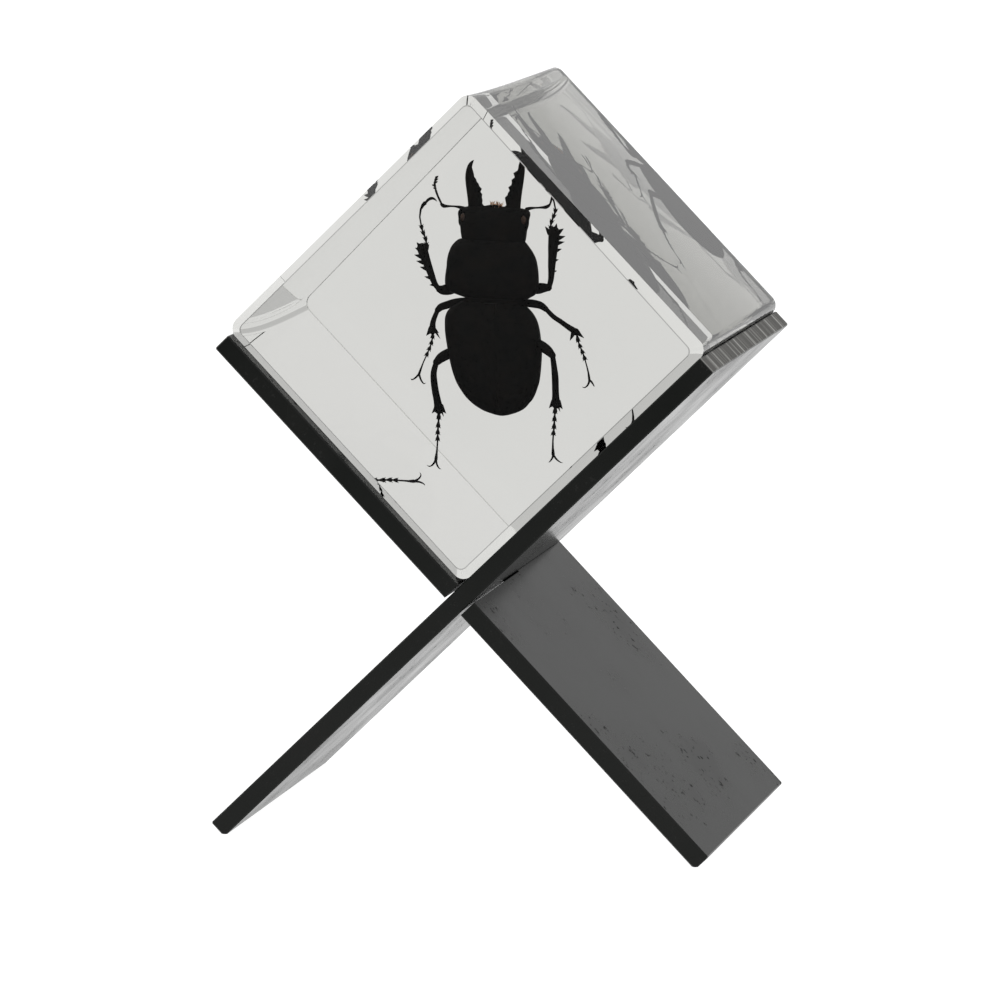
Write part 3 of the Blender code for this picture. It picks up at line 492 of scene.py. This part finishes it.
def add_node(tree, kind, **values):
    """A node, with its sockets or its own settings filled in by name."""
    node = tree.nodes.new(kind)
    for key, value in values.items():
        if key in node.inputs:
            node.inputs[key].default_value = value
        else:
            setattr(node, key, value)
    return node


def calculated(tree, operation, first, second=None):
    """A sum, product or the like of one or two sockets, or of a socket and a number."""
    node = add_node(tree, "ShaderNodeMath", operation=operation)
    for socket, value in zip(node.inputs, (first, second)):
        if isinstance(value, float):
            socket.default_value = value
        elif value is not None:
            tree.links.new(value, socket)
    return node.outputs[0]


def object_place(tree):
    return add_node(tree, "ShaderNodeTexCoord").outputs["Object"]


def noise_texture(tree, sizes, place=None):
    """Noise with a scale, detail and roughness, in the object's own space unless told otherwise."""
    scale, detail, roughness = sizes
    node = add_node(tree, "ShaderNodeTexNoise", Scale=scale, Detail=detail, Roughness=roughness)
    tree.links.new(place or object_place(tree), node.inputs["Vector"])
    return node.outputs["Fac"]


def ramp(tree, value, span, result=(0.0, 1.0)):
    """The span of a value turned evenly into another span."""
    node = add_node(tree, "ShaderNodeMapRange")
    for key, number in zip(("From Min", "From Max", "To Min", "To Max"), (*span, *result)):
        node.inputs[key].default_value = number
    tree.links.new(value, node.inputs["Value"])
    return node.outputs["Result"]


def mixed(tree, factor, first, second):
    node = add_node(tree, "ShaderNodeMix", data_type="RGBA")
    tree.links.new(factor, node.inputs[0])
    for socket, value in ((node.inputs[6], first), (node.inputs[7], second)):
        if isinstance(value, tuple):
            socket.default_value = (*value, 1.0)
        else:
            tree.links.new(value, socket)
    return node.outputs[2]


def bumped(tree, shader, height, relief):
    """Relief with a distance in metres and a strength."""
    distance, strength = relief
    node = add_node(tree, "ShaderNodeBump", Strength=strength, Distance=distance)
    tree.links.new(height, node.inputs["Height"])
    tree.links.new(node.outputs["Normal"], shader.inputs["Normal"])


def resin_material():
    """Clear resin with a faint haze. Its front rim is painted whiter, as painted light, and the fine lines
    at its rims are painted dark grey, as painted shade.
    """
    made, tree, shader = new_material("clear_resin")
    shader.inputs["IOR"].default_value = RESIN_IOR
    shader.inputs["Transmission Weight"].default_value = 1.0
    shader.inputs["Specular Tint"].default_value = (*RESIN_GLARE, 1.0)
    shader.inputs["Roughness"].default_value = 0.0
    # This mark carries painted shade: the dark grey line round the rims.
    line = add_node(tree, "ShaderNodeAttribute", attribute_name="painted_shade_rim_line")
    # This mark carries painted light: the whiter, brighter front rim.
    rim = add_node(tree, "ShaderNodeAttribute", attribute_name="painted_light_front_rim")
    haze = noise_texture(tree, RESIN_HAZE)
    clean = mixed(tree, ramp(tree, haze, RESIN_HAZE_SPAN), RESIN_CLEAR, RESIN_HAZY)
    lit = mixed(tree, rim.outputs["Fac"], clean, RESIN_PAINTED_LIGHT_RIM)
    tree.links.new(mixed(tree, line.outputs["Fac"], lit, RESIN_PAINTED_SHADE_LINE), shader.inputs["Base Color"])
    absorb = add_node(tree, "ShaderNodeVolumeAbsorption", Density=RESIN_DENSITY)
    absorb.inputs["Color"].default_value = (*RESIN_DEPTH_COLOUR, 1.0)
    tree.links.new(absorb.outputs[0], tree.nodes["Material Output"].inputs["Volume"])
    return made


def sawn_height(tree, split):
    """How far a point lies up the arm that it is on, in metres, from the stand's frame."""
    height = calculated(tree, "SUBTRACT", split.outputs["Z"], V_HEIGHT * MM)
    side = calculated(tree, "ABSOLUTE", split.outputs["X"])
    return calculated(tree, "ADD", height, side)


def acrylic_material():
    """Black acrylic: a polished sheet with clusters of dull specks, and saw marks on its upper ends."""
    made, tree, shader = new_material("black_acrylic")
    shader.inputs["IOR"].default_value = ACRYLIC_IOR
    place = object_place(tree)
    dust = noise_texture(tree, DUST, place)
    cloud = noise_texture(tree, CLOUD, place)
    tone = mixed(tree, ramp(tree, cloud, CLOUD_SPAN), *ACRYLIC_TONES)
    specks = calculated(tree, "MULTIPLY", ramp(tree, dust, SPECK_SPAN),
                        ramp(tree, cloud, SPECK_CLOUD_SPAN, SPECK_CLOUD_SHARES))
    dusty = mixed(tree, specks, tone, SPECK_TONE)
    split = add_node(tree, "ShaderNodeSeparateXYZ")
    tree.links.new(place, split.inputs[0])
    sawn = ramp(tree, sawn_height(tree, split), SAWN_SPAN)
    across = add_node(tree, "ShaderNodeCombineXYZ")
    tree.links.new(split.outputs["Y"], across.inputs["X"])
    lines = noise_texture(tree, SAW_LINES, across.outputs[0])
    cut = mixed(tree, ramp(tree, lines, SAW_LINE_SPAN), *SAWN_TONES)
    tree.links.new(mixed(tree, sawn, dusty, cut), shader.inputs["Base Color"])
    rough = ramp(tree, cloud, POLISH_SPAN, POLISH_ROUGHNESS)
    for spots, most in ((specks, SPECK_ROUGHNESS), (sawn, SAWN_ROUGHNESS)):
        rough = calculated(tree, "MAXIMUM", rough, ramp(tree, spots, (0.0, 1.0), (0.0, most)))
    tree.links.new(rough, shader.inputs["Roughness"])
    bumped(tree, shader, noise_texture(tree, SHEET_WAVE, place), SHEET_RELIEF)
    return made


def shell_material():
    """Beetle shell: near black with browner patches, finely pitted."""
    made, tree, shader = new_material("beetle_shell")
    shader.inputs["IOR"].default_value = SHELL_IOR
    place = object_place(tree)
    patches = noise_texture(tree, SHELL_PATCHES, place)
    tone = mixed(tree, ramp(tree, patches, SHELL_TONE_SPAN), *SHELL_TONES)
    tree.links.new(tone, shader.inputs["Base Color"])
    tree.links.new(ramp(tree, patches, SHELL_ROUGH_SPAN, SHELL_ROUGHNESS), shader.inputs["Roughness"])
    pits = add_node(tree, "ShaderNodeTexVoronoi", Scale=PIT_SCALE)
    tree.links.new(place, pits.inputs["Vector"])
    bumped(tree, shader, ramp(tree, pits.outputs["Distance"], PIT_SPAN), PIT_RELIEF)
    return made


def eye_material():
    """Brown eyes with fine facets."""
    made, tree, shader = new_material("beetle_eye")
    place = object_place(tree)
    facets = add_node(tree, "ShaderNodeTexVoronoi", Scale=FACET_SCALE)
    tree.links.new(place, facets.inputs["Vector"])
    patches = noise_texture(tree, EYE_PATCHES, place)
    tone = mixed(tree, ramp(tree, patches, EYE_TONE_SPAN), *EYE_TONES)
    tree.links.new(tone, shader.inputs["Base Color"])
    shader.inputs["Roughness"].default_value = EYE_ROUGHNESS
    bumped(tree, shader, facets.outputs["Distance"], FACET_RELIEF)
    return made


def hair_material():
    """Amber hairs that let light through."""
    made, tree, shader = new_material("beetle_hair")
    patches = noise_texture(tree, HAIR_PATCHES)
    tone = mixed(tree, ramp(tree, patches, HAIR_TONE_SPAN), *HAIR_TONES)
    tree.links.new(tone, shader.inputs["Base Color"])
    shader.inputs["Roughness"].default_value = HAIR_ROUGHNESS
    shader.inputs["IOR"].default_value = HAIR_IOR
    shader.inputs["Transmission Weight"].default_value = HAIR_CLEARNESS
    return made


# ---------------------------------------------------------------- camera, light and floor


def add_camera():
    azimuth, elevation = math.radians(CAMERA_AZIMUTH), math.radians(CAMERA_ELEVATION)
    roll = math.radians(CAMERA_ROLL)
    level = Vector((-math.sin(azimuth), math.cos(azimuth), 0.0))
    look = level * math.cos(elevation) - Vector((0.0, 0.0, math.sin(elevation)))
    right = Vector((math.cos(azimuth), math.sin(azimuth), 0))
    up = right.cross(look)
    rolled_right = right * math.cos(roll) + up * math.sin(roll)
    rolled_up = up * math.cos(roll) - right * math.sin(roll)
    data = bpy.data.cameras.new("camera")
    data.sensor_width = SENSOR_MM
    data.lens = CAMERA_FOCAL_PX / IMAGE_PX * SENSOR_MM
    data.clip_start = NEAR_CLIP * MM
    camera = bpy.data.objects.new("camera", data)
    bpy.context.scene.collection.objects.link(camera)
    turn = Matrix((rolled_right, rolled_up, -look)).transposed().to_4x4()
    camera.matrix_world = Matrix.Translation((CAMERA_TARGET - look * CAMERA_DISTANCE) * MM) @ turn
    bpy.context.scene.camera = camera


def sky():
    """Pale surroundings: brightest well above the horizon, paler behind and dark low down in front."""
    world = bpy.data.worlds.new("studio")
    bpy.context.scene.world = world
    world.use_nodes = True
    tree = world.node_tree
    split = add_node(tree, "ShaderNodeSeparateXYZ")
    tree.links.new(add_node(tree, "ShaderNodeTexCoord").outputs["Generated"], split.inputs[0])
    level = calculated(tree, "MAXIMUM", ramp(tree, split.outputs["Y"], BACK_SKY_SPAN, BACK_SKY_LIGHT),
                       ramp(tree, split.outputs["Z"], HIGH_SKY_SPAN, HIGH_SKY_LIGHT))
    tree.links.new(level, tree.nodes["Background"].inputs["Color"])


def floor():
    """A plain floor, made pale by its own glow: painted light that fades on its front side and hides the
    object's shadow.
    """
    made = bmesh.new()
    bmesh.ops.create_grid(made, x_segments=1, y_segments=1, size=FLOOR_HALF_SIZE)
    mesh = bpy.data.meshes.new("floor")
    made.to_mesh(mesh)
    made.free()
    finish, tree, shader = new_material("floor")
    place = add_node(tree, "ShaderNodeSeparateXYZ")
    tree.links.new(object_place(tree), place.inputs[0])
    painted_light = ramp(tree, place.outputs["Y"], FLOOR_PAINTED_LIGHT_SPAN, FLOOR_PAINTED_LIGHT)
    shader.inputs["Base Color"].default_value = (*FLOOR_TONE, 1.0)
    shader.inputs["Roughness"].default_value = FLOOR_ROUGHNESS
    shader.inputs["Emission Color"].default_value = (1.0, 1.0, 1.0, 1.0)
    tree.links.new(painted_light, shader.inputs["Emission Strength"])
    mesh.materials.append(finish)
    link("floor", mesh)


def studio():
    scene = bpy.context.scene
    scene.view_settings.view_transform = "Standard"
    scene.cycles.max_bounces = BOUNCES
    scene.cycles.transmission_bounces = BOUNCES
    scene.cycles.glossy_bounces = GLOSSY_BOUNCES
    sky()
    floor()


# ---------------------------------------------------------------- block


def set_in(a, y, b):
    """A point of the straight block moved to where its two left faces lie behind the rim."""
    behind = max(y - BLOCK_FRONT - RIM_END, 0.0)
    way = behind / (BLOCK_SIZE - RIM_END)
    low = LOWER_LEFT_DRAFT * way
    high = UPPER_LEFT_INSET * (1.0 - math.exp(-behind / FLARE_DEPTH)) * (1.0 - TOP_SHARE * a / BLOCK_SIZE)
    lean = (BACK_LEFT_EXTRA - BACK_LEAN * a / BLOCK_SIZE) * way
    return Vector((a + low * (1 - a / BLOCK_SIZE), y + lean, b - high * b / BLOCK_SIZE))


def side_lines(insets):
    """The four sides of the block's square, each as two ends set in by its own two widths."""
    low, high = CONTACT_GAP, BLOCK_SIZE
    corners = [Vector((low, low)), Vector((high, low)), Vector((high, high)), Vector((low, high))]
    lines = []
    for index in range(4):
        start, end = corners[index], corners[(index + 1) % 4]
        along = (end - start).normalized()
        inward = Vector((-along.y, along.x))
        first, last, _ = insets[index]
        lines.append((start + inward * first, end + inward * last))
    return lines


def rim_ring(insets, radius, depths):
    """One ring round the block's square: rounded corners between four sides, each side set in by
    its own widths at its two ends and lying at its own depth. Sides go round from lower right."""
    lines = side_lines(insets)
    points = []
    for index in range(4):
        (a, b), (c, d) = lines[index - 1], lines[index]
        first, second = (b - a), (d - c)
        cross = first.x * second.y - first.y * second.x
        t = ((c - a).x * second.y - (c - a).y * second.x) / cross
        corner = a + first * t
        back, on = -first.normalized(), second.normalized()
        turn = math.acos(max(-1.0, min(1.0, back.dot(on))))
        bend = math.pi - turn
        reach = radius / math.tan(turn / 2)
        middle = corner + (back + on).normalized() * radius / math.sin(turn / 2)
        begin, finish = corner + back * reach - middle, corner + on * reach - middle
        before, after = depths[index - 1], depths[index]
        for step in range(CORNER_STEPS + 1):
            way = step / CORNER_STEPS
            angle = way * bend
            sweep = (finish - begin * math.cos(bend)) / math.sin(bend) * math.sin(angle)
            spot = begin * math.cos(angle) + sweep + middle
            ease = way * way * (3 - 2 * way)
            points.append(set_in(spot.x, before + (after - before) * ease, spot.y))
    return points


def resin_block(finish):
    """The clear block: front face, a fine line round it, front rim, long sides, back rim and back face."""
    front, back = [FRONT_RIM[name] for name in SIDES], [BACK_RIM[name] for name in SIDES]
    line = [(low + RIM_LINE, high + RIM_LINE, depth) for low, high, depth in front]
    none = [(0.0, 0.0, 0.0)] * len(SIDES)
    far = BLOCK_FRONT + BLOCK_SIZE
    rings = [
        rim_ring(line, RIM_CORNER, [BLOCK_FRONT] * 4),
        rim_ring(front, RIM_CORNER, [BLOCK_FRONT + RIM_LINE * RIM_LINE_STEEPNESS] * 4),
        rim_ring(none, EDGE_RADIUS, [BLOCK_FRONT + depth for _, _, depth in front]),
        *(rim_ring(none, EDGE_RADIUS, [BLOCK_FRONT + RIM_END + depth] * 4) for depth in FLARE_RINGS),
        rim_ring(none, EDGE_RADIUS, [far - depth for _, _, depth in back]),
        rim_ring(back, EDGE_RADIUS, [far] * 4),
    ]
    made = bmesh.new()
    add_rings(made, rings)
    stand = Matrix.Translation((0, 0, V_HEIGHT)) @ Matrix.Rotation(STAND_TURN, 4, "Y")
    obj = to_object("resin_block", made, stand, finish, BLOCK_SMOOTH)
    count, last = len(rings[0]), len(rings) - 2
    # The first ring's faces get the full painted dark line and the back rim's ring a fainter one, as
    # painted shade.
    # The second ring's faces are marked for the front rim's painted light.
    for name, shares in (("painted_shade_rim_line", {0: 1.0, last: BACK_LINE_SHARE}), ("painted_light_front_rim", {1: 1.0})):
        marks = obj.data.attributes.new(name, "FLOAT", "FACE")
        for index in range(len(marks.data)):
            marks.data[index].value = shares.get(index // count, 0.0)
    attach(obj, "root")
    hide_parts("resin_front_half", "resin_back_half")


# ---------------------------------------------------------------- beetle


def finish_beetle(name, made, finish, smooth=BODY_SMOOTH):
    obj = to_object(name, made, Matrix.Translation(BEETLE_PLACE), finish, smooth)
    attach(obj, "root")
    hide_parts("stag_beetle")


def add_body(made, stations, sides=BODY_SIDES, back_shape=BACK_SHAPE, seam=0.0, rim=0.0):
    """A body part lofted through its stations, with a groove down the back and a thin raised rim."""
    rings = []
    for z, left, right, back, belly in smoothed(stations, STATION_STEPS):
        middle, width = (left + right) / 2, (right - left) / 2
        ring = []
        for step in range(sides):
            angle = math.tau * step / sides
            across, out = math.sin(angle), -math.cos(angle)
            height = math.copysign(abs(out) ** back_shape, out)
            depth = height * (back if out < 0 else belly)
            if out < 0:
                groove = math.exp(-(across * width / SEAM_WIDTH) ** 2)
                depth += seam * groove * min(1.0, back / SEAM_FULL_FROM)
                edge = min(1.0, max(0.0, (abs(across) - BODY_RIM_FROM) / BODY_RIM_SPAN))
                depth += rim * edge * (1 - edge) * 4 * min(1.0, back / BODY_RIM_FULL_FROM)
            ring.append((middle + across * width, depth, z))
        rings.append(ring)
    add_rings(made, rings)


def wing_cases(finish):
    made = bmesh.new()
    add_body(made, ABDOMEN, seam=SEAM_DEPTH, rim=WING_RIM)
    finish_beetle("beetle_wing_cases", made, finish)


def waist(finish):
    """The waist, with the small shield between the wing cases."""
    made = bmesh.new()
    add_body(made, WAIST, sides=WAIST_SIDES)
    front, behind = [], []
    for x, z in SHIELD:
        depth = SHIELD_DEPTH if z < SHIELD_BEND else SHIELD_BEND_DEPTH + SHIELD_SLOPE * (z - SHIELD_BEND)
        front.append(made.verts.new((x, depth, z)))
    for x, z in SHIELD:
        behind.append(made.verts.new((x, SHIELD_BACK, z)))
    made.faces.new(front)
    made.faces.new(behind)
    for index in range(len(SHIELD)):
        after = (index + 1) % len(SHIELD)
        made.faces.new((front[index], front[after], behind[after], behind[index]))
    finish_beetle("beetle_waist", made, finish)


def pronotum(finish):
    made = bmesh.new()
    add_body(made, PRONOTUM, back_shape=PRONOTUM_SHAPE, rim=PRONOTUM_RIM)
    finish_beetle("beetle_pronotum", made, finish)


def head(finish):
    """The head with a cheek and a brow on each side, and a lip."""
    made = bmesh.new()
    add_body(made, HEAD, back_shape=HEAD_SHAPE)
    for side in (-1, 1):
        for ridge in (CHEEK, BROW):
            add_tube(made, as_run([(side * x, *rest) for x, *rest in ridge]), "head")
    add_tube(made, as_run(LIP), "head")
    finish_beetle("beetle_head", made, finish)


def eyes(finish):
    made = bmesh.new()
    for x, z, depth in EYES:
        place = Matrix.Translation((x, depth, z)) @ Matrix.Diagonal((*EYE_SIZE, 1.0))
        bmesh.ops.create_icosphere(made, subdivisions=EYE_FINENESS, radius=1.0, matrix=place)
    finish_beetle("beetle_eyes", made, finish, EYE_SMOOTH)


def along_outline(outline, share):
    """The point at a share of an outline's length."""
    lengths = [(Vector(b) - Vector(a)).length for a, b in zip(outline, outline[1:])]
    way = share * sum(lengths)
    for (a, b), length in zip(zip(outline, outline[1:]), lengths):
        if way <= length:
            return Vector(a).lerp(Vector(b), way / length)
        way -= length
    return Vector(outline[-1])


def jaws(finish):
    """Each jaw is lofted between its outer edge and its toothed inner edge."""
    angles = [math.tau * corner / JAW_SIDES for corner in range(JAW_SIDES)]
    for side, (outer, inner) in JAWS.items():
        rings = []
        for step in range(JAW_STEPS):
            share = step / JAW_STEPS
            a, b = along_outline(outer, share), along_outline(inner, share)
            middle, half = (a + b) / 2, (b - a) / 2
            thick = min(JAW_HALF_THICKNESS, JAW_EDGE + half.length * JAW_SWELL) * (1 - JAW_THINNING * share)
            spots = [(middle + half * math.cos(angle), thick * math.sin(angle)) for angle in angles]
            rings.append([(spot.x, depth, spot.y) for spot, depth in spots])
        x, z = outer[-1]
        rings.append([(x + JAW_TIP * math.cos(angle), JAW_TIP * math.sin(angle), z) for angle in angles])
        made = bmesh.new()
        add_rings(made, rings)
        finish_beetle("beetle_jaw_" + side, made, finish, JAW_SMOOTH)


def antennae(finish):
    """Each antenna is a thin stalk and a club of linked lobes."""
    for side, points in ANTENNAE.items():
        made = bmesh.new()
        add_tube(made, as_run(points), "antenna")
        before = None
        for (x, z, depth), (across, along) in CLUBS[side]:
            lobe = [(x + across * out, z + along * up + drop, depth, radius)
                    for out, up, drop, radius in LOBE]
            add_tube(made, as_run(lobe, SHORT_STEPS), "lobe")
            if before is not None:
                joint = ((*before, LOBE_LINK[0]), (x, z, depth, LOBE_LINK[1]))
                add_tube(made, as_run(joint, FEW_STEPS), "antenna")
            before = (x, z, depth)
        finish_beetle("beetle_antenna_" + side, made, finish)


def add_foot(made, leg):
    """Four short segments that widen to two barbs each, and a long last one."""
    neck, knob, end = leg["widths"]
    neck, knob = neck * NECK_WIDTH, knob * KNOB_WIDTH
    line = smoothed([beetle_point(*point) for point in leg["foot"]], FOOT_STEPS)
    lengths = [0.0]
    for a, b in zip(line, line[1:]):
        lengths.append(lengths[-1] + (b - a).length)

    def at(share):
        way = share * lengths[-1]
        index = next((i for i in range(1, len(line)) if way <= lengths[i]), len(line) - 1)
        local = (way - lengths[index - 1]) / (lengths[index] - lengths[index - 1])
        return line[index - 1].lerp(line[index], min(local, 1.0))

    start = 0.0
    for stop in leg["knobs"]:
        span = stop - start
        run = [(at(start + span * way), neck * thin + knob * wide) for way, thin, wide in SEGMENT]
        add_tube(made, [Vector((*spot, size)) for spot, size in run], "foot")
        here, ahead = at(stop - span * BARB_BEFORE), at(stop + span * BARB_AFTER)
        along = (ahead - here).normalized()
        side = along.cross(Vector((0, 1, 0))).normalized()
        for way in (-1, 1):
            root = here + side * way * knob * BARB_ROOT
            tip = here + side * way * knob * BARB_TIP + along * BARB_REACH
            spots = zip((root, (root + tip) / 2, tip), BARB_RADII)
            add_tube(made, [Vector((*spot, size)) for spot, size in spots], "barb")
        start = stop
    run = [(at(start + (1 - start) * way), (neck * thin + end * wide) * LAST_WIDTH)
           for way, thin, wide in LAST_SEGMENT]
    add_tube(made, [Vector((*spot, size)) for spot, size in run], "last_segment")


def add_tooth(made, shin, root, tip, radius):
    """A flat tooth on the shin's side, at the shin's own depth."""
    tip = tuple(a + (b - a) * TOOTH_REACH for a, b in zip(root, tip))
    depth = min(shin, key=lambda spot: (spot.x - root[0]) ** 2 + (spot.z - root[1]) ** 2).y
    middle = ((root[0] + tip[0]) / 2, (root[1] + tip[1]) / 2 - TOOTH_DROP, depth)
    wide = radius * TOOTH_WIDTH
    points = ((*root, depth, wide), (*middle, wide * TOOTH_MIDDLE), (*tip, depth, SHARP_TIP))
    add_tube(made, as_run(points, SHORT_STEPS), "tooth")


def legs(finish):
    for name, leg in LEGS.items():
        made = bmesh.new()
        add_tube(made, as_run(leg["thigh"]), "thigh")
        add_tube(made, as_run(leg["shin"]), "shin")
        add_foot(made, leg)
        for points in leg["claws"]:
            claw = [(*point, radius) for point, radius in zip(points, CLAW_RADII)]
            add_tube(made, as_run(claw, SHORT_STEPS), "claw")
        shin = smoothed([beetle_point(*point[:3]) for point in leg["shin"]], SHIN_STEPS)
        for root, tip, radius in leg["teeth"]:
            add_tooth(made, shin, root, tip, radius)
        finish_beetle("beetle_leg_" + name, made, finish)


def mouth_hairs(finish):
    """A small tuft of curved hairs on the upper lip."""
    made = bmesh.new()
    root_z, root_depth = HAIR_ROOT
    for number in range(MOUTH_HAIRS):
        where = number * HAIR_ROLL_STEP + HAIR_ROLL_START
        longer, sideways, root_roll, tip_roll = (
            noise.cell(Vector((where, salt * ROLL_STEP + ROLL_START, ROLL_LAYER))) for salt in range(4))
        x = HAIR_LEFT + HAIR_SPAN * number / (MOUTH_HAIRS - 1)
        reach = HAIR_LENGTH + HAIR_LENGTH * abs(longer)
        lean = HAIR_LEAN * sideways
        root = (x, root_z, root_depth + HAIR_ROOT_SPREAD * root_roll)
        tip = (x + lean, root_z + reach, root_depth + HAIR_TIP_SPREAD * tip_roll)
        middle = (x + lean * HAIR_MIDDLE[0], root_z + reach * HAIR_MIDDLE[1], (root[2] + tip[2]) / 2)
        points = [(*point, radius) for point, radius in zip((root, middle, tip), HAIR_RADII)]
        add_tube(made, as_run(points, FEW_STEPS), "hair")
    finish_beetle("beetle_mouth_hairs", made, finish)


# ---------------------------------------------------------------- all


def main():
    add_camera()
    studio()
    acrylic, shell = acrylic_material(), shell_material()
    resin_block(resin_material())
    for name in ("stand_plate_right", "stand_plate_left"):
        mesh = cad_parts[name].data
        mesh.materials.clear()
        mesh.materials.append(acrylic)
    for build in (wing_cases, waist, pronotum, head):
        build(shell)
    eyes(eye_material())
    jaws(shell)
    antennae(shell)
    legs(shell)
    mouth_hairs(hair_material())


main()
